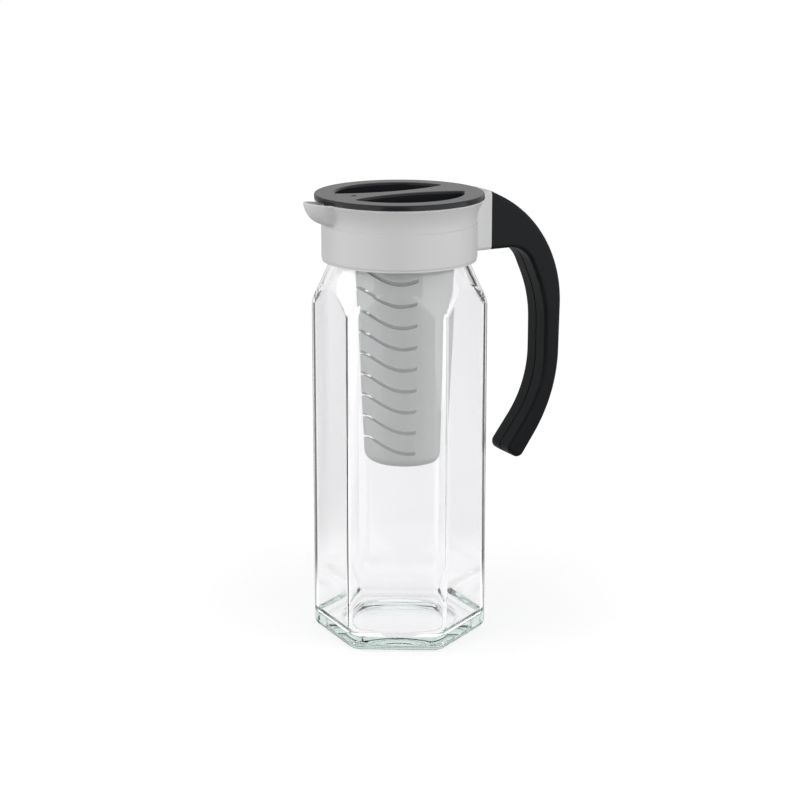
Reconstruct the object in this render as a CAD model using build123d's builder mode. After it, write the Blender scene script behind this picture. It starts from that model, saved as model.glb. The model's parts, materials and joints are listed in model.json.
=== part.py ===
"""Fruit infuser pitcher.

A hexagonal glass jar carries a moulded collar on bayonet lugs. The collar has the spout and the arm
that the two-part handle clamps on. A turning pour lid sits in the collar, and a tapered infuser
basket hangs from a spigot under the lid.

Frame: millimetres, +Z up, origin at the centre of the base, handle towards +X, spout towards -X.
"""

import os
from math import cos, pi, radians, sin, sqrt, tan

from build123d import *

# Glass jar
BODY_FLATS = 91.7  # across the flats of the hexagon
BODY_CORNER_R = 10.5
GLASS_WALL = 2.8
BASE_THICKNESS = 7.5
HEEL_R = 5.0
INNER_HEEL_R = 6.0
PUNT_R = 35.0  # hollow under the base
PUNT_DEPTH = 2.6
SHOULDER_TOP_Z = 225.6  # where the shoulder cone reaches the neck
SHOULDER_ANGLE = 25.1  # from the vertical
SHOULDER_EDGE_R = 10.0
NECK_R = 40.2
NECK_WALL = 3.3
NECK_HEIGHT = 19.4
MOUTH_EDGE_R = 1.1

# Bayonet lugs
LUG_COUNT = 3
LUG_SWEEP = 34.0
LUG_DEPTH = 1.9
LUG_HEIGHT = 3.2
LUG_BELOW_MOUTH = 5.0
LUG_ROOT = 0.6  # how far a lug is sunk into its wall
STOP_SWEEP = 4.0
STOP_CLEARANCE = 1.0  # degrees between the stop and the collar's lug
LUG_CLEARANCE = 0.35

# Collar
COLLAR_WALL = 2.7
COLLAR_GAP = 0.6  # between the top of the shoulder and the collar
COLLAR_EDGE_R = 2.2
SOCKET_CLEARANCE = 0.5
GASKET_THICKNESS = 1.5
GASKET_CLEARANCE = 0.3
LEDGE_THICKNESS = 2.0
LEDGE_MARGIN = 0.6  # how far the ledge stands back from the neck's bore
WAIST_DROP = 0.6  # from the ledge down to the waist line outside
WAIST_STEP = 0.4
SEAT_HEIGHT = 13.5  # from the ledge up to the rim
FLARE = 4.5
RIM_THICKNESS = 2.8
RIM_EDGE_R = 0.7

# Spout
SPOUT_REACH = 60.5
SPOUT_RISE = 1.4
SPOUT_LIP_R = 10.0
SPOUT_MID_DROP = 9.0
SPOUT_MID_REACH = 55.2
SPOUT_MID_R = 7.0
SPOUT_ROOT_RISE = 0.8  # above the waist line
SPOUT_ROOT_INSET = 0.5  # from the waist inwards
SPOUT_ROOT_R = 4.0
SPOUT_WALL = 1.8
SPOUT_BLEND_R = 3.0  # where the spout runs into the collar

# Handle
HANDLE_WIDTH = 22.5
HANDLE_JOINT_X = 55.3  # plane where the arm meets the handle
HANDLE_TOP_RISE = 1.2  # above the collar's rim
HANDLE_UNDERSIDE_RISE = 2.0  # above the collar's lower edge
HANDLE_EDGE_R = 2.4
HANDLE_WALL = 2.3
HANDLE_SEAM = 0.7
ARM_WALL = 2.4
ARM_FLOOR_MARGIN = 0.6
TONGUE_LENGTH = 18.0
TONGUE_THICKNESS = 6.0
TONGUE_BOTTOM_RISE = 4.2
TONGUE_HEIGHT = 16.0
TONGUE_CLEARANCE = 0.3

# Handle outline: distances out from the joint and down from the handle's top
HANDLE_REACH = 50.2
HANDLE_SHOULDER_DROP = 24.7
HANDLE_SHOULDER_R = 75.0
GRIP_THICKNESS = 11.7
GRIP_LEAN = 2.0  # how far the grip's lower bend stands back towards the jar
GRIP_BEND_DROP = 128.2
GRIP_BEND_R = 93.0
INNER_SHOULDER_BELOW = 33.5  # below the arm's underside
INNER_SHOULDER_R = 75.0
INNER_BEND_LEAD = 4.0  # above the outer bend
INNER_BEND_R = 70.0
UNDERSIDE_LENGTH = 24.3
UNDERSIDE_R = 17.0
TIP_OUT = 22.0
TIP_BELOW_BEND = 38.3
TIP_THICKNESS = 12.0
TIP_R = 4.6

# Handle screws
SCREW_R = 1.5
SCREW_LENGTH = 11.0
SCREW_HEAD_R = 2.7
SCREW_HEAD_HEIGHT = 2.0
SCREW_SEAT = 4.0  # head seat above the middle plane
SCREW_HEAD_CLEARANCE = 0.25
SCREW_CLEARANCE = 0.1
SCREW_POINT_CLEARANCE = 0.8
BOSS_WALL = 1.5
CROSS_LENGTH = 3.0
CROSS_WIDTH = 0.8
CROSS_DEPTH = 1.1
SCREW_PLACES = [(8.6, 22.8), (36.4, 134.0)]  # out from the joint, below the handle's top

# Lid
LID_THICKNESS = 3.0
LID_INSET = 0.5  # flange inside the collar's rim
LID_EDGE_R = 1.0
LID_WALL = 1.8
LID_ARM_CLEARANCE = 0.5
SKIRT_CLEARANCE = 0.45
SKIRT_WALL = 2.2
SKIRT_GAP = 0.7  # between the skirt and the collar's ledge
POCKET_R = 37.2
POCKET_DEPTH = 11.0
POCKET_EDGE_R = 1.4
POCKET_CORNER_R = 2.0
BAR_HALF_WIDTH = 6.0  # grip bar at its middle
BAR_CURVE_R = 86.0
BAR_CORE_LENGTH = 56.0
ARROW_REACH = 32.0
ARROW_LENGTH = 4.0
ARROW_WIDTH = 5.0
ARROW_DEPTH = 0.3

# Pour strainer and seal in the lid's skirt
STRAINER_COUNT = 5
STRAINER_SPREAD = 28.0
STRAINER_SLOT = 3.2
STRAINER_HEIGHT = 5.0
STRAINER_RAIL = 1.1
STRAINER_MARGIN = 0.5  # how far the slots' cut runs past the skirt inside
SEAL_R = 0.7  # of the ring's round section
SEAL_RISE = 9.4  # above the collar's ledge
SEAL_CLEARANCE = 0.14

# Infuser basket
BASKET_OFFSET = 3.4  # towards the handle
BASKET_TOP_R = 30.3
BASKET_END_R = 23.6
BASKET_LENGTH = 146.5
BASKET_WALL = 1.6
BASKET_CORNER_R = 6.0
BASKET_SEAT_GAP = 0.3
BASKET_FIT = 0.12
BASKET_BEAD = 1.0
BASKET_BEAD_HEIGHT = 2.5
SPIGOT_LENGTH = 11.0
SPIGOT_WALL = 1.8
SLIT_COUNT = 9
SLIT_PITCH = 12.68
SLIT_LOWEST = 7.9  # lowest slit's trough above the basket's end
SLIT_HEIGHT = 2.2
SLIT_WAVE = 7.4  # crest to trough
SLIT_PERIOD = 57.0  # from crest to crest, along the wall
SLIT_HALF_SPAN = 78.0
SLIT_POINTS = 15

# Heights and radii that follow from the sizes above
MOUTH_Z = SHOULDER_TOP_Z + NECK_HEIGHT
NECK_BORE_R = NECK_R - NECK_WALL
LUG_R = NECK_R + LUG_DEPTH
LUG_Z = MOUTH_Z - LUG_BELOW_MOUTH - LUG_HEIGHT
COLLAR_LUG_Z = LUG_Z - LUG_CLEARANCE - LUG_HEIGHT
COLLAR_Z = SHOULDER_TOP_Z + COLLAR_GAP
SOCKET_R = LUG_R + SOCKET_CLEARANCE
COLLAR_R = SOCKET_R + COLLAR_WALL
LEDGE_Z = MOUTH_Z + GASKET_THICKNESS
LEDGE_TOP_Z = LEDGE_Z + LEDGE_THICKNESS
LEDGE_R = NECK_BORE_R + LEDGE_MARGIN
WAIST_Z = LEDGE_TOP_Z - WAIST_DROP
WAIST_R = COLLAR_R - WAIST_STEP
RIM_Z = LEDGE_TOP_Z + SEAT_HEIGHT
RIM_R = COLLAR_R + FLARE
SEAT_R = SOCKET_R + LUG_CLEARANCE
SEAT_RIM_R = RIM_R - RIM_THICKNESS
LID_R = RIM_R - LID_INSET
LID_TOP_Z = RIM_Z + LID_THICKNESS
LID_FLOOR_Z = LID_TOP_Z - POCKET_DEPTH
LID_UNDER_Z = LID_FLOOR_Z - LID_WALL
HANDLE_TOP_Z = RIM_Z + HANDLE_TOP_RISE
HANDLE_UNDER_Z = COLLAR_Z + HANDLE_UNDERSIDE_RISE
ARM_HEIGHT = HANDLE_TOP_Z - HANDLE_UNDER_Z
ARM_FLOOR_X = RIM_R + ARM_FLOOR_MARGIN
TONGUE_Z = HANDLE_UNDER_Z + TONGUE_BOTTOM_RISE
BOSS_R = SCREW_HEAD_R + SCREW_HEAD_CLEARANCE + BOSS_WALL
SEAL_Z = LEDGE_TOP_Z + SEAL_RISE
BASKET_TOP_Z = LID_UNDER_Z - BASKET_SEAT_GAP
BASKET_END_Z = BASKET_TOP_Z - BASKET_LENGTH
BASKET_AXIS = Axis((BASKET_OFFSET, 0, 0), (0, 0, 1))

os.makedirs("parts", exist_ok=True)


def flare_radius(height, start_r, start_z, rim_r):
    """Radius at a height of a round curve that starts upright and swings out to the rim."""
    run = rim_r - start_r
    rise = RIM_Z - start_z
    curve_r = (run**2 + rise**2) / (2 * run)
    return start_r + curve_r - sqrt(curve_r**2 - (height - start_z) ** 2)


def seat_radius(height):
    """Radius of the collar's flared seat at a height."""
    return flare_radius(height, SEAT_R, LEDGE_TOP_Z, SEAT_RIM_R)


def seat_curve(low, high, inset):
    """Draw the seat's curve between two heights, moved inwards, in the active line block."""
    heights = (low, (low + high) / 2, high)
    return ThreePointArc(*[(seat_radius(height) - inset, height) for height in heights])


def basket_radius(height):
    """Outer radius of the tapered basket at a height."""
    taper = (BASKET_TOP_R - BASKET_END_R) / BASKET_LENGTH
    return BASKET_END_R + (height - BASKET_END_Z) * taper


def ring_sector(inner_r, outer_r, centre, sweep):
    """Draw one sector of a flat ring in the active sketch."""
    start = centre - sweep / 2
    with BuildLine() as outline:
        outer = CenterArc((0, 0), outer_r, start, sweep)
        inner = CenterArc((0, 0), inner_r, start, sweep)
        Line(outer @ 0, inner @ 0)
        Line(outer @ 1, inner @ 1)
    make_face(outline.edges())


def corner(sketch, radius, height):
    """The corner of a profile nearest to a radius and a height."""
    return sketch.vertices().sort_by_distance((radius, height))[0]


def shoulder_profile(neck_r, reach, floor_z):
    """Draw the half section under the shoulder cone that ends at a neck radius."""
    cone_z = SHOULDER_TOP_Z - (reach - neck_r) / tan(radians(SHOULDER_ANGLE))
    with BuildLine() as outline:
        Polyline(
            (0, floor_z),
            (reach, floor_z),
            (reach, cone_z),
            (neck_r, SHOULDER_TOP_Z),
            (0, SHOULDER_TOP_Z),
            close=True,
        )
    make_face(outline.edges())


def glass_form(inset, neck_r, floor_z, heel_r):
    """Build a closed form of body, shoulder and neck, set in from the jar's outside by an inset."""
    with BuildPart() as form:
        with BuildSketch(Plane.XY.offset(floor_z)) as plan:
            RegularPolygon(BODY_FLATS / 2 - inset, 6, major_radius=False, rotation=30)
            fillet(plan.vertices(), BODY_CORNER_R - inset)
        extrude(amount=SHOULDER_TOP_Z - floor_z)
        with BuildSketch(Plane.XZ):
            shoulder_profile(neck_r, BODY_FLATS, 0)
        revolve(axis=Axis.Z, mode=Mode.INTERSECT)
        cone = form.faces().filter_by(GeomType.CONE)[0]
        fillet(cone.edges().sort_by(Axis.Z)[:-1], SHOULDER_EDGE_R - inset)
        fillet(form.faces().sort_by(Axis.Z)[0].edges(), heel_r)
        with BuildSketch(Plane.XY.offset(SHOULDER_TOP_Z)):
            Circle(neck_r)
        extrude(amount=NECK_HEIGHT)
    return form.part


# Glass jar: the pressed body with the room cut out, the hollow under the base, and the lugs
with BuildPart() as glass_jar:
    add(glass_form(0, NECK_R, 0, HEEL_R))
    add(glass_form(GLASS_WALL, NECK_BORE_R, BASE_THICKNESS, INNER_HEEL_R), mode=Mode.SUBTRACT)
    fillet(glass_jar.faces().sort_by(Axis.Z)[-1].edges(), MOUTH_EDGE_R)
    punt_ball_r = (PUNT_R**2 + PUNT_DEPTH**2) / (2 * PUNT_DEPTH)
    with Locations((0, 0, PUNT_DEPTH - punt_ball_r)):
        Sphere(punt_ball_r, mode=Mode.SUBTRACT)
    stop_angle = LUG_SWEEP / 2 + STOP_CLEARANCE + STOP_SWEEP / 2
    for lug in range(LUG_COUNT):
        lug_angle = lug * 360 / LUG_COUNT
        with BuildSketch(Plane.XY.offset(LUG_Z)):
            ring_sector(NECK_R - LUG_ROOT, LUG_R, lug_angle, LUG_SWEEP)
        extrude(amount=LUG_HEIGHT)
        with BuildSketch(Plane.XY.offset(COLLAR_LUG_Z)):
            ring_sector(NECK_R - LUG_ROOT, LUG_R, lug_angle - stop_angle, STOP_SWEEP)
        extrude(amount=LUG_Z + LUG_HEIGHT - COLLAR_LUG_Z)
glass_jar.part.label = "glass_jar"

# Spout: a beak lofted through three circles, and the channel inside it
SPOUT_LEVELS = [
    (WAIST_Z + SPOUT_ROOT_RISE, WAIST_R - SPOUT_ROOT_INSET, SPOUT_ROOT_R),
    (RIM_Z - SPOUT_MID_DROP, SPOUT_MID_REACH, SPOUT_MID_R),
    (RIM_Z + SPOUT_RISE, SPOUT_REACH, SPOUT_LIP_R),
]

with BuildPart() as spout:
    for level, reach, circle_r in SPOUT_LEVELS:
        with BuildSketch(Plane.XY.offset(level)):
            with Locations((circle_r - reach, 0)):
                Circle(circle_r)
    loft()

with BuildPart() as spout_channel:
    for level, reach, circle_r in SPOUT_LEVELS:
        lift = SPOUT_WALL if level < RIM_Z else 0
        with BuildSketch(Plane.XY.offset(max(level + lift, LEDGE_TOP_Z))):
            with Locations((circle_r - reach, 0)):
                Circle(circle_r - SPOUT_WALL)
    loft()
    extrude(spout_channel.faces().sort_by(Axis.Z)[-1], amount=SPOUT_RISE)

# Collar: outer form with spout, band and arm first, then everything inside it is cut out
with BuildPart() as collar:
    flare_top_z = RIM_Z + SPOUT_RISE
    with BuildSketch(Plane.XZ):
        with BuildLine():
            heights = (WAIST_Z, RIM_Z, flare_top_z)
            flare = ThreePointArc(*[(flare_radius(z, WAIST_R, WAIST_Z, RIM_R), z) for z in heights])
            Polyline(flare @ 1, (0, flare_top_z), (0, COLLAR_Z), (WAIST_R, COLLAR_Z), flare @ 0)
        make_face()
    revolve(axis=Axis.Z)
    add(spout.part)
    joint_edges = collar.edges(Select.LAST).filter_by(GeomType.BSPLINE).sort_by(Axis.Z)
    fillet(joint_edges[:-1], SPOUT_BLEND_R)
    lip_run = SPOUT_REACH - RIM_R
    with BuildSketch(Plane.XZ):
        with BuildLine():
            Polyline(
                (-RIM_R - 2 * lip_run, RIM_Z + 2 * SPOUT_RISE),
                (-RIM_R, RIM_Z),
                (SPOUT_REACH, RIM_Z),
                (SPOUT_REACH, LID_TOP_Z),
                (-RIM_R - 2 * lip_run, LID_TOP_Z),
                close=True,
            )
        make_face()
    extrude(amount=SPOUT_REACH, both=True, mode=Mode.SUBTRACT)
    rim_edges = collar.edges(Select.LAST).filter_by(GeomType.LINE, reverse=True)
    fillet(rim_edges, RIM_EDGE_R)
    with BuildSketch(Plane.XZ) as band_profile:
        with Locations((0, COLLAR_Z)):
            Rectangle(COLLAR_R, WAIST_Z - COLLAR_Z, align=(Align.MIN, Align.MIN))
        fillet(corner(band_profile, COLLAR_R, COLLAR_Z), COLLAR_EDGE_R)
        fillet(corner(band_profile, COLLAR_R, WAIST_Z), WAIST_STEP / 2)
    revolve(axis=Axis.Z)
    arm_middle_z = (HANDLE_TOP_Z + HANDLE_UNDER_Z) / 2
    with BuildSketch(Plane.YZ):
        with Locations((0, arm_middle_z)):
            RectangleRounded(HANDLE_WIDTH, ARM_HEIGHT, HANDLE_EDGE_R)
    extrude(amount=HANDLE_JOINT_X)
    with BuildSketch(Plane.YZ.offset(ARM_FLOOR_X)):
        with Locations((0, arm_middle_z)):
            Rectangle(HANDLE_WIDTH - 2 * ARM_WALL, ARM_HEIGHT - 2 * ARM_WALL)
    extrude(amount=HANDLE_JOINT_X - ARM_FLOOR_X, mode=Mode.SUBTRACT)
    with BuildSketch(Plane.XZ) as collar_inside:
        with BuildLine():
            Polyline(
                (0, 0),
                (SOCKET_R, 0),
                (SOCKET_R, LEDGE_Z),
                (LEDGE_R, LEDGE_Z),
                (LEDGE_R, LEDGE_TOP_Z),
                (SEAT_R, LEDGE_TOP_Z),
            )
            seat_curve(LEDGE_TOP_Z, RIM_Z, 0)
            Polyline(
                (SEAT_RIM_R, RIM_Z),
                (LID_R + LID_ARM_CLEARANCE, RIM_Z),
                (LID_R + LID_ARM_CLEARANCE, LID_TOP_Z),
                (0, LID_TOP_Z),
                (0, 0),
            )
        make_face()
    revolve(axis=Axis.Z, mode=Mode.SUBTRACT)
    add(spout_channel.part, mode=Mode.SUBTRACT)
    for lug in range(LUG_COUNT):
        with BuildSketch(Plane.XY.offset(COLLAR_LUG_Z)):
            ring_sector(NECK_R + LUG_CLEARANCE, SOCKET_R + LUG_ROOT, lug * 360 / LUG_COUNT, LUG_SWEEP)
        extrude(amount=LUG_HEIGHT)
    tongue_end_x = HANDLE_JOINT_X + TONGUE_LENGTH
    with BuildSketch(Plane.XZ) as tongue_plan:
        with Locations((ARM_FLOOR_X, TONGUE_Z)):
            Rectangle(tongue_end_x - ARM_FLOOR_X, TONGUE_HEIGHT, align=(Align.MIN, Align.MIN))
        screw_out, screw_drop = SCREW_PLACES[0]
        with Locations((HANDLE_JOINT_X + screw_out, HANDLE_TOP_Z - screw_drop)):
            Circle(BOSS_R + TONGUE_CLEARANCE, mode=Mode.SUBTRACT)
    extrude(amount=TONGUE_THICKNESS / 2, both=True)
collar.part.label = "collar"

# Gasket between the glass mouth and the collar's ledge
with BuildPart() as collar_gasket:
    with BuildSketch(Plane.XY.offset(MOUTH_Z)):
        Circle(SOCKET_R - GASKET_CLEARANCE)
        Circle(LEDGE_R, mode=Mode.SUBTRACT)
    extrude(amount=GASKET_THICKNESS)
collar_gasket.part.label = "collar_gasket"


def from_joint(place):
    """Turn a place given from the joint and the handle's top into profile coordinates."""
    out, drop = place
    return (HANDLE_JOINT_X + out, HANDLE_TOP_Z - drop)


# Handle outline in the middle plane, from the joint round the outside, the tip and back inside
tip_drop = GRIP_BEND_DROP + TIP_BELOW_BEND
inner_out = HANDLE_REACH - GRIP_THICKNESS
last_leg = Vector(TIP_OUT - HANDLE_REACH + GRIP_LEAN, TIP_BELOW_BEND).normalized()
HANDLE_CORNERS = [
    (HANDLE_REACH, HANDLE_SHOULDER_DROP, HANDLE_SHOULDER_R),
    (HANDLE_REACH - GRIP_LEAN, GRIP_BEND_DROP, GRIP_BEND_R),
    (TIP_OUT, tip_drop, TIP_R),
    (TIP_OUT - TIP_THICKNESS * last_leg.Y, tip_drop + TIP_THICKNESS * last_leg.X, TIP_R),
    (inner_out, GRIP_BEND_DROP - INNER_BEND_LEAD, INNER_BEND_R),
    (inner_out, ARM_HEIGHT + INNER_SHOULDER_BELOW, INNER_SHOULDER_R),
    (UNDERSIDE_LENGTH, ARM_HEIGHT, UNDERSIDE_R),
]

with BuildSketch() as handle_outline:
    with BuildLine():
        joint_top = (HANDLE_JOINT_X, HANDLE_TOP_Z)
        joint_bottom = (HANDLE_JOINT_X, HANDLE_UNDER_Z)
        bends = [from_joint((out, drop)) for out, drop, bend_r in HANDLE_CORNERS]
        bend_radii = [bend_r for out, drop, bend_r in HANDLE_CORNERS]
        FilletPolyline(joint_top, *bends, joint_bottom, radius=bend_radii)
        Line(joint_bottom, joint_top)
    make_face()

with BuildSketch() as handle_hollow:
    add(handle_outline.sketch)
    offset(amount=-HANDLE_WALL, mode=Mode.REPLACE)


def handle_shell(side):
    """Build one half of the handle, on the side of the middle plane given by the sign."""
    middle = Plane((0, 0, 0), x_dir=(1, 0, 0), z_dir=(0, -1, 0))
    depth = -side * HANDLE_WIDTH / 2
    with BuildPart() as shell:
        with BuildSketch(middle):
            add(handle_outline.sketch)
        extrude(amount=depth)
        outer_face = shell.faces().filter_by(Axis.Y).sort_by(Axis.Y)[-1 if side > 0 else 0]
        fillet(outer_face.edges().sort_by(Axis.X)[1:], HANDLE_EDGE_R)
        seam_face = shell.faces().filter_by(Axis.Y).sort_by(Axis.Y)[0 if side > 0 else -1]
        chamfer(seam_face.edges().sort_by(Axis.X)[1:], HANDLE_SEAM)
        with BuildSketch(middle):
            add(handle_hollow.sketch)
        extrude(amount=depth + side * HANDLE_WALL, mode=Mode.SUBTRACT)
        with BuildSketch(middle):
            with Locations((HANDLE_JOINT_X, TONGUE_Z - TONGUE_CLEARANCE)):
                Rectangle(
                    2 * HANDLE_WALL,
                    TONGUE_HEIGHT + 2 * TONGUE_CLEARANCE,
                    align=(Align.MIN, Align.MIN),
                )
        extrude(amount=-side * (TONGUE_THICKNESS / 2 + TONGUE_CLEARANCE), mode=Mode.SUBTRACT)
        with BuildSketch(middle):
            with Locations(*[from_joint(place) for place in SCREW_PLACES]):
                Circle(BOSS_R)
        extrude(amount=depth + side * HANDLE_WALL / 2)
        with BuildSketch(middle):
            with Locations(*[from_joint(place) for place in SCREW_PLACES]):
                Circle(SCREW_R + SCREW_CLEARANCE)
        pilot_depth = SCREW_LENGTH - SCREW_SEAT + SCREW_POINT_CLEARANCE
        extrude(amount=-side * (SCREW_SEAT if side > 0 else pilot_depth), mode=Mode.SUBTRACT)
        if side > 0:
            with BuildSketch(middle.offset(-SCREW_SEAT)):
                with Locations(*[from_joint(place) for place in SCREW_PLACES]):
                    Circle(SCREW_HEAD_R + SCREW_HEAD_CLEARANCE)
            extrude(amount=-HANDLE_WIDTH / 2, mode=Mode.SUBTRACT)
    return shell.part


handle_left_shell = handle_shell(-1)
handle_left_shell.label = "handle_left_shell"
handle_right_shell = handle_shell(1)
handle_right_shell.label = "handle_right_shell"

# Screws that draw the two halves together through the collar's tongue
with BuildPart() as handle_screws:
    seat_plane = Plane((0, SCREW_SEAT, 0), x_dir=(1, 0, 0), z_dir=(0, -1, 0))
    screw_points = [from_joint(place) for place in SCREW_PLACES]
    with BuildSketch(seat_plane):
        with Locations(*screw_points):
            Circle(SCREW_R)
    extrude(amount=SCREW_LENGTH)
    with BuildSketch(seat_plane):
        with Locations(*screw_points):
            Circle(SCREW_HEAD_R)
    extrude(amount=-SCREW_HEAD_HEIGHT)
    with BuildSketch(seat_plane.offset(-SCREW_HEAD_HEIGHT)):
        with Locations(*screw_points):
            Rectangle(CROSS_LENGTH, CROSS_WIDTH)
            Rectangle(CROSS_WIDTH, CROSS_LENGTH)
    extrude(amount=CROSS_DEPTH, mode=Mode.SUBTRACT)
handle_screws.part.label = "handle_screws"

# Lid: flange, bowl, skirt and spigot, then the pockets, strainer and seal groove
with BuildPart() as lid:
    with BuildSketch(Plane.XY.offset(RIM_Z)):
        Circle(LID_R)
    extrude(amount=LID_THICKNESS)
    fillet(lid.edges().group_by(Axis.Z)[-1], LID_EDGE_R)
    with BuildSketch(Plane.XY.offset(LID_UNDER_Z)):
        Circle(POCKET_R + LID_WALL)
    extrude(amount=RIM_Z - LID_UNDER_Z)
    skirt_z = LEDGE_TOP_Z + SKIRT_GAP
    with BuildSketch(Plane.XZ):
        with BuildLine():
            skirt_outer = seat_curve(skirt_z, RIM_Z, SKIRT_CLEARANCE)
            skirt_inner = seat_curve(skirt_z, RIM_Z, SKIRT_CLEARANCE + SKIRT_WALL)
            Line(skirt_outer @ 0, skirt_inner @ 0)
            Line(skirt_outer @ 1, skirt_inner @ 1)
        make_face()
    revolve(axis=Axis.Z)
    spigot_z = BASKET_TOP_Z - SPIGOT_LENGTH
    spigot_inset = BASKET_WALL + BASKET_FIT
    with BuildSketch(Plane.XZ):
        with BuildLine():
            Polyline(
                (BASKET_OFFSET + basket_radius(LID_UNDER_Z) - spigot_inset, LID_UNDER_Z),
                (BASKET_OFFSET + basket_radius(spigot_z) - spigot_inset, spigot_z),
                (BASKET_OFFSET + basket_radius(spigot_z) - spigot_inset - SPIGOT_WALL, spigot_z),
                (BASKET_OFFSET + basket_radius(LID_UNDER_Z) - spigot_inset - SPIGOT_WALL, LID_UNDER_Z),
                close=True,
            )
        make_face()
    revolve(axis=BASKET_AXIS)
    for side in (1, -1):
        with BuildSketch(Plane.XY.offset(LID_TOP_Z)) as pocket_plan:
            Circle(POCKET_R)
            with Locations((0, side * (BAR_HALF_WIDTH + BAR_CURVE_R))):
                Circle(BAR_CURVE_R, mode=Mode.INTERSECT)
            fillet(pocket_plan.vertices(), POCKET_CORNER_R)
        extrude(amount=-POCKET_DEPTH, mode=Mode.SUBTRACT)
        fillet(lid.edges(Select.LAST).group_by(Axis.Z)[-1], POCKET_EDGE_R)
    with BuildSketch(Plane.XY.offset(LID_UNDER_Z)):
        Rectangle(BAR_CORE_LENGTH, 2 * (BAR_HALF_WIDTH - LID_WALL))
    extrude(amount=RIM_Z - LID_UNDER_Z, mode=Mode.SUBTRACT)
    with Locations((0, 0, skirt_z + STRAINER_RAIL + STRAINER_HEIGHT / 2)):
        with PolarLocations(
            SEAT_R,
            STRAINER_COUNT,
            start_angle=180 - STRAINER_SPREAD / 2,
            angular_range=STRAINER_SPREAD,
            endpoint=True,
        ):
            slot_depth = 2 * (SKIRT_CLEARANCE + SKIRT_WALL + STRAINER_MARGIN)
            Box(slot_depth, STRAINER_SLOT, STRAINER_HEIGHT, mode=Mode.SUBTRACT)
    seal_outer_r = seat_radius(SEAL_Z) - SEAL_CLEARANCE
    groove_floor_r = seal_outer_r - 2 * SEAL_R - SEAL_CLEARANCE
    with BuildSketch(Plane.XY.offset(SEAL_Z - SEAL_R - SEAL_CLEARANCE)):
        Circle(LID_R)
        Circle(groove_floor_r, mode=Mode.SUBTRACT)
    extrude(amount=2 * (SEAL_R + SEAL_CLEARANCE), mode=Mode.SUBTRACT)
    with BuildSketch(Plane.XY.offset(LID_TOP_Z)):
        with BuildLine():
            Polyline(
                (-ARROW_REACH, 0),
                (ARROW_LENGTH - ARROW_REACH, ARROW_WIDTH / 2),
                (ARROW_LENGTH - ARROW_REACH, -ARROW_WIDTH / 2),
                close=True,
            )
        make_face()
    extrude(amount=-ARROW_DEPTH, mode=Mode.SUBTRACT)
lid.part.label = "lid"

# Silicone ring in the lid's groove
with BuildPart() as lid_seal:
    with Locations((0, 0, SEAL_Z)):
        Torus(seal_outer_r - SEAL_R, SEAL_R)
lid_seal.part.label = "lid_seal"


def slit_curve(radius, wall_r):
    """Draw a slit's wave at a distance from the basket's axis, crest towards the spout.

    The wave keeps its length along the wall, so it takes a wider angle where the wall is narrower.
    """
    points = []
    for step in range(SLIT_POINTS):
        turn = radians(SLIT_HALF_SPAN) * (2 * step / (SLIT_POINTS - 1) - 1)
        height = SLIT_WAVE / 2 * (1 + cos(2 * pi * turn * wall_r / SLIT_PERIOD))
        points.append((-radius * cos(turn), radius * sin(turn), height))
    return Edge.make_spline(points)


def slit_solid(wall_r):
    """Build one slit as a solid: the wave drawn out from inside the wall to outside it, and lifted."""
    with BuildPart() as slit:
        wave = Face.make_surface_from_curves(
            slit_curve(BASKET_END_R - BASKET_CORNER_R, wall_r),
            slit_curve(BASKET_TOP_R + BASKET_CORNER_R, wall_r),
        )
        extrude(wave, amount=SLIT_HEIGHT, dir=(0, 0, 1))
    return slit.part


# Basket: a tapered cup with a rim bead and a panel of wavy slits towards the spout
with BuildPart() as infuser_basket:
    bead_z = BASKET_TOP_Z - BASKET_BEAD_HEIGHT
    with BuildSketch(Plane.XZ) as basket_profile:
        with BuildLine():
            Polyline(
                (BASKET_OFFSET, BASKET_END_Z),
                (BASKET_OFFSET + BASKET_END_R, BASKET_END_Z),
                (BASKET_OFFSET + basket_radius(bead_z), bead_z),
                (BASKET_OFFSET + basket_radius(bead_z) + BASKET_BEAD, bead_z),
                (BASKET_OFFSET + basket_radius(BASKET_TOP_Z) + BASKET_BEAD, BASKET_TOP_Z),
                (BASKET_OFFSET, BASKET_TOP_Z),
                close=True,
            )
        make_face()
        fillet(corner(basket_profile, BASKET_OFFSET + BASKET_END_R, BASKET_END_Z), BASKET_CORNER_R)
    revolve(axis=BASKET_AXIS)
    floor_z = BASKET_END_Z + BASKET_WALL
    with BuildSketch(Plane.XZ) as basket_room:
        with BuildLine():
            Polyline(
                (BASKET_OFFSET, floor_z),
                (BASKET_OFFSET + basket_radius(floor_z) - BASKET_WALL, floor_z),
                (BASKET_OFFSET + basket_radius(BASKET_TOP_Z) - BASKET_WALL, BASKET_TOP_Z),
                (BASKET_OFFSET, BASKET_TOP_Z),
                close=True,
            )
        make_face()
        room_corner = corner(basket_room, BASKET_OFFSET + BASKET_END_R - BASKET_WALL, floor_z)
        fillet(room_corner, BASKET_CORNER_R - BASKET_WALL)
    revolve(axis=BASKET_AXIS, mode=Mode.SUBTRACT)
    for step in range(SLIT_COUNT):
        slit_z = BASKET_END_Z + SLIT_LOWEST + step * SLIT_PITCH
        with Locations((BASKET_OFFSET, 0, slit_z)):
            add(slit_solid(basket_radius(slit_z)), mode=Mode.SUBTRACT)
infuser_basket.part.label = "infuser_basket"

export_step(glass_jar.part, "parts/glass_jar.step")
export_step(collar.part, "parts/collar.step")
export_step(collar_gasket.part, "parts/collar_gasket.step")
export_step(handle_left_shell, "parts/handle_left_shell.step")
export_step(handle_right_shell, "parts/handle_right_shell.step")
export_step(handle_screws.part, "parts/handle_screws.step")
export_step(lid.part, "parts/lid.step")
export_step(lid_seal.part, "parts/lid_seal.step")
export_step(infuser_basket.part, "parts/infuser_basket.step")
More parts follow.
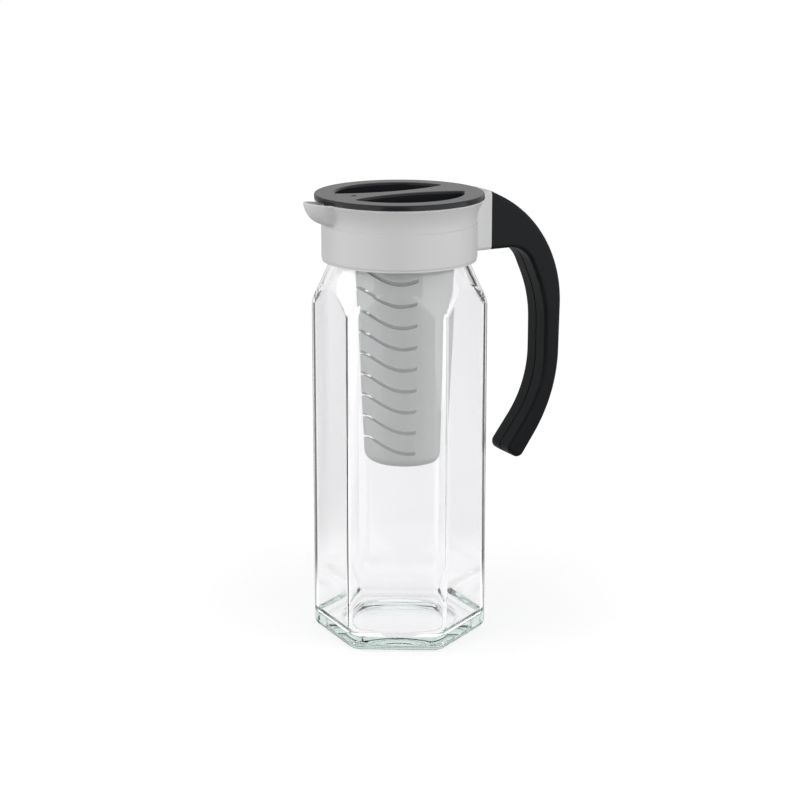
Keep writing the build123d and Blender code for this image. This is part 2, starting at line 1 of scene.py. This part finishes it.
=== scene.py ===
"""Looks of the fruit infuser pitcher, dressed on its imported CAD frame.

Metres, in the CAD frame: +Z up, the handle towards +X and the spout towards -X. The jar stands on z = 0.
"""

from __future__ import annotations

import json
import logging
import math
from dataclasses import dataclass
from enum import Enum

import bpy
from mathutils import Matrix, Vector

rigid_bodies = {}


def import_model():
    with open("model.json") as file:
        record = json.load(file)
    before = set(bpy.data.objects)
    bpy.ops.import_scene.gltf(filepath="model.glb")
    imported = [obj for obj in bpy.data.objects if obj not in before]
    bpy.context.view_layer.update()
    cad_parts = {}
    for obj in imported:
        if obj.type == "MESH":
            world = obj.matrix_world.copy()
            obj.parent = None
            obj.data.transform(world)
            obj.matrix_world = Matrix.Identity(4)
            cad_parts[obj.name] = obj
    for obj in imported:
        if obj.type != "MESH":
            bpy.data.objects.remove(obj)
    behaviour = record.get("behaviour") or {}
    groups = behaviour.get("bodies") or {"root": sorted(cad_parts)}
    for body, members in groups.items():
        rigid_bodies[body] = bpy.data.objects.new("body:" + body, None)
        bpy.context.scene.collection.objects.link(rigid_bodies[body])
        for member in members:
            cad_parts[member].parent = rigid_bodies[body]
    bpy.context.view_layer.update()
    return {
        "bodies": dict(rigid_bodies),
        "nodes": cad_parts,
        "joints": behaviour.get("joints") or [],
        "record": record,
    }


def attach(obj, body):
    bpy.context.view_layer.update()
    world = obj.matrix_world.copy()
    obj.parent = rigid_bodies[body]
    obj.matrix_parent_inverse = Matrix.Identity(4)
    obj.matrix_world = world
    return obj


LOG = logging.getLogger("pitcher")
MM = 0.001
MIDDLE_STRETCH = (0.3, 0.7)  # where most values of a noise lie
ONE_OR_MORE = 0.5  # threshold for a ray depth of at least one
LAMP_WATTS = 4.0  # per square metre of a lamp, for a radiance of 1
EVEN = (1.0, 1.0, 1.0)
ROUND_THE_AXIS = (0.04, 0.04, 1.0)
Colour = tuple[float, float, float]
Stretch = tuple[float, float, float]
Socket = bpy.types.NodeSocket


class Grain(Enum):
    """How a mould's surface leaves a plastic: noise scale per metre, and depth of the bump in metres."""

    POLISHED = (900.0, 0.004 * MM)
    SATIN = (2600.0, 0.02 * MM)
    SOFT_TOUCH = (3400.0, 0.035 * MM)


class NodeSheet:
    """A node tree with short calls for adding nodes and wiring them."""

    def __init__(self, tree: bpy.types.NodeTree) -> None:
        """Take over a tree and empty it."""
        self.tree = tree
        self.tree.nodes.clear()

    def add(self, kind: str, **settings: object) -> bpy.types.Node:
        """Add a node.

        Args:
            kind: The node's type name.
            settings: Properties to set on the node.

        Returns:
            The new node.
        """
        node = self.tree.nodes.new(kind)
        for name, value in settings.items():
            setattr(node, name, value)
        return node

    def wire(self, source: Socket, target: Socket) -> None:
        """Link one socket to another."""
        self.tree.links.new(source, target)

    def object_point(self, stretch: Stretch = EVEN) -> Socket:
        """Give the point in the object's own coordinates.

        Args:
            stretch: Factor on each axis, to draw a pattern out along the others.

        Returns:
            The socket with the point.
        """
        place = self.add("ShaderNodeMapping")
        place.inputs["Scale"].default_value = stretch
        self.wire(self.add("ShaderNodeTexCoord").outputs["Object"], place.inputs["Vector"])
        return place.outputs["Vector"]

    def noise(self, scale: float, detail: float = 2.0, stretch: Stretch = EVEN) -> Socket:
        """Add a noise on the object's coordinates.

        Args:
            scale: Blobs per metre.
            detail: Number of finer layers.
            stretch: Factor on each axis.

        Returns:
            The socket with the noise, from 0 to 1.
        """
        node = self.add("ShaderNodeTexNoise")
        node.inputs["Scale"].default_value = scale
        node.inputs["Detail"].default_value = detail
        self.wire(self.object_point(stretch), node.inputs["Vector"])
        return node.outputs["Fac"]

    def ranged(
        self, source: Socket, low: float, high: float, span: tuple[float, float] = MIDDLE_STRETCH
    ) -> Socket:
        """Map a span of a value onto a range.

        Args:
            source: The value, such as a noise.
            low: Result at the span's lower end.
            high: Result at the span's upper end.
            span: The value's two ends.

        Returns:
            The socket with the mapped value.
        """
        node = self.add("ShaderNodeMapRange")
        for end, value in zip(("From Min", "From Max", "To Min", "To Max"), (*span, low, high)):
            node.inputs[end].default_value = value
        self.wire(source, node.inputs["Value"])
        return node.outputs["Result"]

    def blended(self, share: Socket, first: Colour, second: Colour) -> Socket:
        """Mix two colours by a share and give the mixed colour's socket."""
        node = self.add("ShaderNodeMix", data_type="RGBA")
        ends = [socket for socket in node.inputs if socket.type == "RGBA"]
        for end, colour in zip(ends, (first, second)):
            end.default_value = (*colour, 1.0)
        self.wire(share, node.inputs["Factor"])
        return next(socket for socket in node.outputs if socket.type == "RGBA")

    def bump(self, height: Socket, depth: float) -> Socket:
        """Turn a height from 0 to 1 into a normal, with its depth in metres."""
        node = self.add("ShaderNodeBump")
        node.inputs["Strength"].default_value = 1.0
        node.inputs["Distance"].default_value = depth
        self.wire(height, node.inputs["Height"])
        return node.outputs["Normal"]

    def math(self, operation: str, first: Socket | float, second: Socket | float) -> Socket:
        """Work out a value from two sockets or numbers.

        Args:
            operation: The math node's operation.
            first: A socket or a number.
            second: A socket or a number.

        Returns:
            The socket with the result.
        """
        node = self.add("ShaderNodeMath", operation=operation)
        for place, value in enumerate((first, second)):
            if isinstance(value, Socket):
                self.wire(value, node.inputs[place])
            else:
                node.inputs[place].default_value = value
        return node.outputs["Value"]

    def ramp(self, source: Socket, stops: list[tuple[float, float]]) -> Socket:
        """Turn a value into a grey.

        Args:
            source: The value, from 0 to 1.
            stops: Pairs of a value and its grey, in rising order.

        Returns:
            The socket with the grey.
        """
        node = self.add("ShaderNodeValToRGB")
        elements = node.color_ramp.elements
        while len(elements) < len(stops):
            elements.new(1.0)
        for element, (place, grey) in zip(elements, stops):
            element.position = place
            element.color = (grey, grey, grey, 1.0)
        self.wire(source, node.inputs["Fac"])
        return node.outputs["Color"]

    def mixed(self, share: Socket, first: Socket, second: Socket) -> Socket:
        """Mix two shaders by a share and give the mixed shader's socket."""
        node = self.add("ShaderNodeMixShader")
        self.wire(share, node.inputs["Fac"])
        self.wire(first, node.inputs[1])
        self.wire(second, node.inputs[2])
        return node.outputs["Shader"]

    def lit_through(self, shader: Socket, tint: Colour) -> Socket:
        """Let lamps shine through a surface.

        Args:
            shader: The surface as it is seen.
            tint: The share of the lamps' light that passes.

        Returns:
            The shader's socket, with the shadow thinned out.
        """
        lamp_path = self.add("ShaderNodeBsdfTransparent")
        lamp_path.inputs["Color"].default_value = (*tint, 1.0)
        shadow = self.add("ShaderNodeLightPath").outputs["Is Shadow Ray"]
        return self.mixed(shadow, shader, lamp_path.outputs["BSDF"])

    def surface(self, shader: Socket, output: str = "ShaderNodeOutputMaterial") -> bpy.types.Node:
        """Lead a shader to the tree's output and give the output node."""
        node = self.add(output)
        self.wire(shader, node.inputs["Surface"])
        return node


def new_material(name: str) -> tuple[bpy.types.Material, NodeSheet]:
    """Make an empty node material.

    Args:
        name: The material's name.

    Returns:
        The material and its node sheet.
    """
    material = bpy.data.materials.new(name)
    material.use_nodes = True
    return material, NodeSheet(material.node_tree)


@dataclass(frozen=True)
class MouldedPlastic:
    """An injection moulded plastic: nearly even colour, flow marks and the mould's grain."""

    name: str
    colour: Colour
    flow_colour: Colour
    roughness: tuple[float, float]
    grain: Grain
    ior: float = 1.5
    specular: float = 0.5
    flow_scale: float = 22.0
    flow_detail: float = 3.0
    flow_stretch: Stretch = EVEN
    milky: float = 0.0
    milky_reach: float = 3.0 * MM
    lets_through: Colour | None = None

    def material(self) -> bpy.types.Material:
        """Build the finish and give its material."""
        material, sheet = new_material(self.name)
        grain_scale, grain_depth = self.grain.value
        shader = sheet.add("ShaderNodeBsdfPrincipled")
        shader.inputs["IOR"].default_value = self.ior
        shader.inputs["Specular IOR Level"].default_value = self.specular
        shader.inputs["Subsurface Weight"].default_value = self.milky
        shader.inputs["Subsurface Radius"].default_value = EVEN
        shader.inputs["Subsurface Scale"].default_value = self.milky_reach
        flow = sheet.noise(self.flow_scale, self.flow_detail, self.flow_stretch)
        sheet.wire(sheet.blended(flow, self.colour, self.flow_colour), shader.inputs["Base Color"])
        fine = sheet.noise(grain_scale)
        sheet.wire(sheet.ranged(fine, *self.roughness), shader.inputs["Roughness"])
        sheet.wire(sheet.bump(fine, grain_depth), shader.inputs["Normal"])
        skin = shader.outputs["BSDF"]
        sheet.surface(sheet.lit_through(skin, self.lets_through) if self.lets_through else skin)
        return material


@dataclass(frozen=True)
class ClearGlass:
    """Pressed soda glass: clear through a wall, green where light runs along it."""

    name: str
    ior: float = 1.5
    tint: Colour = (0.996, 0.986, 0.998)
    shadow_tint: Colour = (0.93, 0.95, 0.94)
    inner_colour: Colour = (0.56, 0.74, 0.66)
    inner_density: float = 10.0
    ripple_scale: float = 34.0
    ripple_depth: float = 0.05 * MM

    def material(self) -> bpy.types.Material:
        """Build the finish and give its material."""
        material, sheet = new_material(self.name)
        shader = sheet.add("ShaderNodeBsdfPrincipled")
        shader.inputs["Base Color"].default_value = (*self.tint, 1.0)
        shader.inputs["Transmission Weight"].default_value = 1.0
        shader.inputs["IOR"].default_value = self.ior
        shader.inputs["Roughness"].default_value = 0.0
        ripple = sheet.noise(self.ripple_scale, detail=1.0)
        sheet.wire(sheet.bump(ripple, self.ripple_depth), shader.inputs["Normal"])
        inner = sheet.add("ShaderNodeVolumeAbsorption")
        inner.inputs["Color"].default_value = (*self.inner_colour, 1.0)
        inner.inputs["Density"].default_value = self.inner_density
        output = sheet.surface(sheet.lit_through(shader.outputs["BSDF"], self.shadow_tint))
        sheet.wire(inner.outputs["Volume"], output.inputs["Volume"])
        return material


@dataclass(frozen=True)
class SoftSilicone:
    """Milky silicone rubber that lets a little light through."""

    name: str
    colour: Colour = (0.78, 0.78, 0.76)
    cloud_colour: Colour = (0.70, 0.70, 0.68)
    cloud_scale: float = 160.0
    grain_scale: float = 1800.0
    roughness: tuple[float, float] = (0.42, 0.58)
    ior: float = 1.41
    clearness: float = 0.35

    def material(self) -> bpy.types.Material:
        """Build the finish and give its material."""
        material, sheet = new_material(self.name)
        shader = sheet.add("ShaderNodeBsdfPrincipled")
        shader.inputs["IOR"].default_value = self.ior
        shader.inputs["Transmission Weight"].default_value = self.clearness
        clouds = sheet.noise(self.cloud_scale)
        sheet.wire(sheet.blended(clouds, self.colour, self.cloud_colour), shader.inputs["Base Color"])
        fine = sheet.noise(self.grain_scale)
        sheet.wire(sheet.ranged(fine, *self.roughness), shader.inputs["Roughness"])
        sheet.surface(shader.outputs["BSDF"])
        return material


@dataclass(frozen=True)
class ScrewSteel:
    """Zinc plated screw steel with fine turning marks."""

    name: str
    colour: Colour = (0.62, 0.62, 0.63)
    dull_colour: Colour = (0.50, 0.50, 0.51)
    roughness: tuple[float, float] = (0.28, 0.45)
    mark_scale: float = 2200.0
    mark_detail: float = 4.0
    mark_depth: float = 0.006 * MM

    def material(self) -> bpy.types.Material:
        """Build the finish and give its material."""
        material, sheet = new_material(self.name)
        shader = sheet.add("ShaderNodeBsdfPrincipled")
        shader.inputs["Metallic"].default_value = 1.0
        marks = sheet.noise(self.mark_scale, self.mark_detail)
        sheet.wire(sheet.blended(marks, self.colour, self.dull_colour), shader.inputs["Base Color"])
        sheet.wire(sheet.ranged(marks, *self.roughness), shader.inputs["Roughness"])
        sheet.wire(sheet.bump(marks, self.mark_depth), shader.inputs["Normal"])
        sheet.surface(shader.outputs["BSDF"])
        return material


GREY_PLASTIC = MouldedPlastic(
    name="grey_satin_plastic",
    colour=(0.665, 0.665, 0.665),
    flow_colour=(0.64, 0.64, 0.645),
    roughness=(0.36, 0.46),
    grain=Grain.SATIN,
    flow_scale=260.0,
    flow_stretch=ROUND_THE_AXIS,
)
MILKY_PLASTIC = MouldedPlastic(
    name="grey_milky_plastic",
    colour=(0.67, 0.67, 0.67),
    flow_colour=(0.64, 0.64, 0.645),
    roughness=(0.34, 0.44),
    grain=Grain.SATIN,
    milky=0.5,
    lets_through=(0.85, 0.85, 0.85),
)
BLACK_PLASTIC = MouldedPlastic(
    name="black_soft_touch_plastic",
    colour=(0.0045, 0.0060, 0.0070),
    flow_colour=(0.0065, 0.0080, 0.0090),
    roughness=(0.36, 0.48),
    grain=Grain.SOFT_TOUCH,
    specular=0.13,
)
LID_PLASTIC = MouldedPlastic(
    name="black_gloss_plastic",
    colour=(0.018, 0.0185, 0.022),
    flow_colour=(0.021, 0.0215, 0.025),
    roughness=(0.16, 0.22),
    grain=Grain.POLISHED,
    specular=0.22,
)
JAR_GLASS = ClearGlass(name="clear_pressed_glass")
SILICONE = SoftSilicone(name="milky_silicone")
STEEL = ScrewSteel(name="screw_steel")


@dataclass
class SubAssembly:
    """A part of the pitcher that is built and dressed together."""

    frame: dict

    def dress_node(self, node: str, material: bpy.types.Material) -> None:
        """Give a CAD node its finish.

        Args:
            node: The node's name.
            material: The finish.
        """
        for slot in self.frame["nodes"][node].material_slots:
            slot.material = material
        LOG.info("dressed %s in %s", node, material.name)


@dataclass
class GlassJar(SubAssembly):
    """The pressed glass jar, with the ring of fine grip ribs in the hollow under its base."""

    ring_r: float = 32.2 * MM
    rib_count: int = 200
    rib_length: float = 2.2 * MM
    rib_width: float = 0.55 * MM
    rib_top: float = 0.60 * MM
    rib_foot: float = 0.04 * MM
    rib_edge: float = 0.12 * MM
    edge_segments: int = 2
    smooth_angle: float = 40.0

    def build_grip_ring(self) -> bpy.types.Object:
        """Model one rib with rounded edges, and copy it round the base."""
        bpy.ops.object.select_all(action="DESELECT")
        middle_z = (self.rib_top + self.rib_foot) / 2.0
        bpy.ops.mesh.primitive_cube_add(size=1.0, location=(self.ring_r, 0.0, middle_z))
        ring = bpy.context.object
        ring.name = "base_grip_ring"
        ring.scale = (self.rib_length, self.rib_width, self.rib_top - self.rib_foot)
        bpy.ops.object.transform_apply(location=True, rotation=True, scale=True)
        bpy.ops.object.mode_set(mode="EDIT")
        bpy.ops.mesh.select_all(action="SELECT")
        bpy.ops.mesh.bevel(offset=self.rib_edge, segments=self.edge_segments)
        bpy.ops.mesh.select_all(action="SELECT")
        bpy.ops.mesh.spin(
            steps=self.rib_count - 1,
            dupli=True,
            angle=2.0 * math.pi * (self.rib_count - 1) / self.rib_count,
            center=(0.0, 0.0, 0.0),
            axis=(0.0, 0.0, 1.0),
        )
        bpy.ops.mesh.select_all(action="SELECT")
        bpy.ops.mesh.normals_make_consistent(inside=False)
        bpy.ops.object.mode_set(mode="OBJECT")
        bpy.ops.object.shade_smooth_by_angle(angle=math.radians(self.smooth_angle))
        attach(ring, "jar")
        LOG.info("built %s", ring.name)
        return ring

    def build(self) -> None:
        """Build the grip ring and dress the glass."""
        glass = JAR_GLASS.material()
        self.build_grip_ring().data.materials.append(glass)
        self.dress_node("glass_jar", glass)


@dataclass
class PourCollar(SubAssembly):
    """The moulded collar with its spout and arm, and the gasket in it."""

    def build(self) -> None:
        """Dress the collar and its gasket."""
        self.dress_node("collar", GREY_PLASTIC.material())
        self.dress_node("collar_gasket", SILICONE.material())


@dataclass
class ClampedHandle(SubAssembly):
    """The handle's two shells and the screws that clamp them on the collar's tongue."""

    def build(self) -> None:
        """Dress the shells and the screws."""
        black = BLACK_PLASTIC.material()
        self.dress_node("handle_left_shell", black)
        self.dress_node("handle_right_shell", black)
        self.dress_node("handle_screws", STEEL.material())


@dataclass
class PourLid(SubAssembly):
    """The turning lid and its sealing ring."""

    def build(self) -> None:
        """Dress the lid and its seal."""
        self.dress_node("lid", LID_PLASTIC.material())
        self.dress_node("lid_seal", SILICONE.material())


@dataclass
class InfuserBasket(SubAssembly):
    """The tapered basket with its wavy slits."""

    def build(self) -> None:
        """Dress the basket."""
        self.dress_node("infuser_basket", MILKY_PLASTIC.material())


@dataclass(frozen=True)
class Softbox:
    """One studio lamp: a soft rectangle that faces the pitcher's axis."""

    name: str
    azimuth: float
    distance: float = 0.55
    height: float = 0.31
    aim_height: float = 0.31
    width: float = 1.0
    tall: float = 0.6
    radiance: float = 1.17

    def build(self) -> None:
        """Hang the lamp so that it faces the axis at its aim height."""
        turn = math.radians(self.azimuth)
        data = bpy.data.lights.new(self.name, "AREA")
        data.shape = "RECTANGLE"
        data.size = self.width
        data.size_y = self.tall
        data.energy = LAMP_WATTS * self.width * self.tall * self.radiance
        lamp = bpy.data.objects.new(self.name, data)
        lamp.location = (self.distance * math.cos(turn), self.distance * math.sin(turn), self.height)
        aim = Vector((0.0, 0.0, self.aim_height)) - lamp.location
        lamp.rotation_euler = aim.to_track_quat("-Z", "Y").to_euler()
        lamp.visible_camera = False
        lamp.visible_transmission = False
        bpy.context.scene.collection.objects.link(lamp)
        LOG.info("hung lamp %s", self.name)


@dataclass(frozen=True)
class Studio:
    """A white floor, soft lamps, a white surround and the camera.

    painted_flags is a painted reflection. It holds pairs of an angle from straight behind the jar, in
    degrees, and a level. They set how bright the floor glows for rays thrown back inside the glass, which
    paints dark edges and bright strips into the glass. Within painted_flag_edge, in metres from the axis,
    the floor keeps at least the near level, a painted brightness in the glass's heel. The seen lifts are
    pairs of a distance from the axis, in metres, and the floor's own brightness there where it is looked
    at.
    """

    camera_place: tuple[float, float, float] = (-0.5516, -1.0469, 0.45106)
    camera_pitch: float = 75.324
    camera_azimuth: float = -27.8
    lens_mm: float = 93.05
    sensor_mm: float = 36.0
    floor_span: float = 24.0
    floor_drop: float = 0.4 * MM
    floor_grey: float = 0.22
    seen_grey: float = 0.60
    seen_lifts: tuple[tuple[float, float], ...] = (
        (0.10, 0.50),
        (0.25, 0.57),
        (0.54, 0.65),
        (0.96, 0.73),
        (1.60, 0.79),
        (2.50, 0.82),
    )
    through_white: float = 0.97
    surround: float = 0.30
    # painted reflection: glossy rays see the surround mixed towards white by up to this share behind the
    # jar, and only the plain light towards the camera
    gloss_shares: tuple[float, float] = (0.0, 0.42)
    inner_sky: float = 1.0
    # how strongly the floor's painted reflection glows for rays thrown back inside the glass
    painted_flag_light: float = 1.5
    glass_bounces: int = 12
    painted_flag_edge: tuple[float, float] = (0.10, 0.16)
    near_level: float = 0.6
    # painted reflection: bands painted on the floor, dark and bright by angle, which only rays thrown
    # back inside the glass see
    painted_flags: tuple[tuple[float, float], ...] = (
        (180.0, 0.35),
        (160.0, 1.0),
        (66.0, 1.0),
        (58.0, 0.08),
        (24.0, 0.08),
        (17.0, 0.75),
    )

    def lamps(self) -> list[Softbox]:
        """List the lamps: a tall one on each side of the front face, and one above."""
        return [
            Softbox("softbox_left", azimuth=178.0),
            Softbox("softbox_right", azimuth=298.0),
            Softbox(
                "softbox_top",
                azimuth=60.0,
                distance=0.1,
                height=1.5,
                aim_height=0.0,
                width=1.4,
                tall=1.4,
                radiance=0.78,
            ),
        ]

    def backward(self, sheet: NodeSheet, direction: Socket) -> Socket:
        """Tell how far a direction from the jar leads to the backdrop.

        Args:
            sheet: The node sheet to add to.
            direction: The direction from the jar.

        Returns:
            A socket from 0, in front of the jar, to 1, straight behind it.
        """
        behind = math.radians(90.0 + self.camera_azimuth)
        level = sheet.add("ShaderNodeVectorMath", operation="MULTIPLY")
        level.inputs[1].default_value = (1.0, 1.0, 0.0)
        sheet.wire(direction, level.inputs[0])
        unit = sheet.add("ShaderNodeVectorMath", operation="NORMALIZE")
        sheet.wire(level.outputs["Vector"], unit.inputs[0])
        along = sheet.add("ShaderNodeVectorMath", operation="DOT_PRODUCT")
        along.inputs[1].default_value = (math.cos(behind), math.sin(behind), 0.0)
        sheet.wire(unit.outputs["Vector"], along.inputs[0])
        return sheet.math("MULTIPLY", sheet.math("ADD", along.outputs["Value"], 1.0), 0.5)

    def painted_flag_level(self, sheet: NodeSheet, direction: Socket) -> Socket:
        """Tell how bright the floor is for a ray thrown back inside the glass.

        A painted reflection: two dark bands painted on the floor behind the jar, one on each side, which
        only these rays see, draw the glass's edges dark.

        Args:
            sheet: The node sheet to add to.
            direction: The direction from the jar.

        Returns:
            A socket from 0 to 1, by the angle from straight behind the jar.
        """
        stops = [((math.cos(math.radians(angle)) + 1.0) / 2.0, grey) for angle, grey in self.painted_flags]
        return sheet.ramp(self.backward(sheet, direction), stops)

    def lift_level(self, sheet: NodeSheet, reach: Socket) -> Socket:
        """Tell how far the floor is lifted to white where it is looked at.

        The lift is lower near the jar, where the lamps light the floor, so the jar keeps its shadow.

        Args:
            sheet: The node sheet to add to.
            reach: The distance from the jar's axis.

        Returns:
            A socket from 0 to 1.
        """
        farthest = self.seen_lifts[-1][0]
        stops = [(distance / farthest, grey) for distance, grey in self.seen_lifts]
        return sheet.ramp(sheet.math("DIVIDE", reach, farthest), stops)

    def by_path(
        self,
        sheet: NodeSheet,
        direction: Socket,
        light: Socket,
        white: Socket,
        through: Socket,
        seen_inside: Socket,
    ) -> Socket:
        """Show a surround to each ray by its path.

        Args:
            sheet: The node sheet to add to.
            direction: The direction from the jar.
            light: What lights the pitcher.
            white: What the camera sees, and a share of what a gloss mirrors.
            through: What is seen straight through the glass.
            seen_inside: What a ray thrown back inside the glass sees.

        Returns:
            The mixed shader's socket.
        """
        path = sheet.add("ShaderNodeLightPath")
        direct = sheet.math("LESS_THAN", path.outputs["Diffuse Depth"], ONE_OR_MORE)
        # painted reflection: glossy rays see more white behind the jar than lights anything
        share = sheet.ranged(self.backward(sheet, direction), *self.gloss_shares)
        gloss = sheet.math("MULTIPLY", path.outputs["Is Glossy Ray"], share)
        passed = sheet.math("MULTIPLY", path.outputs["Is Transmission Ray"], direct)
        mirrored = sheet.math("GREATER_THAN", path.outputs["Glossy Depth"], ONE_OR_MORE)
        entered = sheet.math("GREATER_THAN", path.outputs["Transmission Depth"], ONE_OR_MORE)
        thrown_back = sheet.math("MULTIPLY", sheet.math("MULTIPLY", mirrored, entered), direct)
        shown = sheet.mixed(gloss, light, white)
        shown = sheet.mixed(passed, shown, through)
        shown = sheet.mixed(path.outputs["Is Camera Ray"], shown, white)
        return sheet.mixed(thrown_back, shown, seen_inside)

    def build_world(self) -> None:
        """Make the surround: white to look at, softer as a light."""
        world = bpy.data.worlds.new("surround")
        world.use_nodes = True
        sheet = NodeSheet(world.node_tree)
        levels = []
        for strength in (self.surround, 1.0, self.through_white, self.inner_sky):
            background = sheet.add("ShaderNodeBackground")
            background.inputs["Color"].default_value = (1.0, 1.0, 1.0, 1.0)
            background.inputs["Strength"].default_value = strength
            levels.append(background.outputs["Background"])
        direction = sheet.add("ShaderNodeTexCoord").outputs["Generated"]
        sheet.surface(self.by_path(sheet, direction, *levels), "ShaderNodeOutputWorld")
        bpy.context.scene.world = world

    def floor_material(self) -> bpy.types.Material:
        """Give the floor its pale finish: lit by the lamps, and lifted to white where it is looked at."""
        material, sheet = new_material("pale_floor")
        paints = []
        for grey in (self.floor_grey, self.seen_grey):
            paint = sheet.add("ShaderNodeBsdfDiffuse")
            paint.inputs["Color"].default_value = (grey, grey, grey, 1.0)
            paints.append(paint.outputs["BSDF"])
        lifts = []
        for strength in (1.0, self.through_white, self.painted_flag_light):
            lift = sheet.add("ShaderNodeEmission")
            lift.inputs["Strength"].default_value = strength
            lifts.append(lift)
        white = sheet.add("ShaderNodeAddShader")
        sheet.wire(paints[1], white.inputs[0])
        sheet.wire(lifts[0].outputs["Emission"], white.inputs[1])
        place = sheet.object_point()
        reach = sheet.add("ShaderNodeVectorMath", operation="LENGTH")
        sheet.wire(place, reach.inputs[0])
        sheet.wire(self.lift_level(sheet, reach.outputs["Value"]), lifts[0].inputs["Color"])
        # painted reflection for rays thrown back inside the glass: the painted bands by angle, and a
        # bright patch near the jar that brightens the glass's heel
        near = sheet.ranged(reach.outputs["Value"], self.near_level, 0.0, self.painted_flag_edge)
        seen_inside = sheet.math("MAXIMUM", self.painted_flag_level(sheet, place), near)
        sheet.wire(seen_inside, lifts[2].inputs["Color"])
        shaders = [paints[0], white.outputs["Shader"]]
        shaders += [lift.outputs["Emission"] for lift in lifts[1:]]
        sheet.surface(self.by_path(sheet, place, *shaders))
        material.cycles.emission_sampling = "NONE"
        return material

    def build_floor(self) -> None:
        """Lay the floor just under the jar."""
        bpy.ops.object.select_all(action="DESELECT")
        bpy.ops.mesh.primitive_plane_add(size=self.floor_span, location=(0.0, 0.0, -self.floor_drop))
        floor = bpy.context.object
        floor.name = "studio_floor"
        floor.data.materials.append(self.floor_material())
        LOG.info("laid the floor")

    def build_camera(self) -> None:
        """Set up the camera at the photograph's viewing angle."""
        data = bpy.data.cameras.new("studio_camera")
        data.sensor_width = self.sensor_mm
        data.lens = self.lens_mm
        camera = bpy.data.objects.new("studio_camera", data)
        camera.location = self.camera_place
        camera.rotation_euler = (math.radians(self.camera_pitch), 0.0, math.radians(self.camera_azimuth))
        bpy.context.scene.collection.objects.link(camera)
        bpy.context.scene.camera = camera

    def build(self) -> None:
        """Set up the whole studio."""
        self.build_world()
        self.build_floor()
        self.build_camera()
        for lamp in self.lamps():
            lamp.build()
        bpy.context.scene.cycles.glossy_bounces = self.glass_bounces
        bpy.context.scene.view_settings.view_transform = "Standard"


def main() -> None:
    """Load the frame, dress every piece and set up the studio."""
    logging.basicConfig(level=logging.INFO, format="%(name)s: %(message)s")
    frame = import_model()
    for sub_assembly in (GlassJar, PourCollar, ClampedHandle, PourLid, InfuserBasket):
        sub_assembly(frame).build()
    Studio().build()


if __name__ == "__main__":
    main()
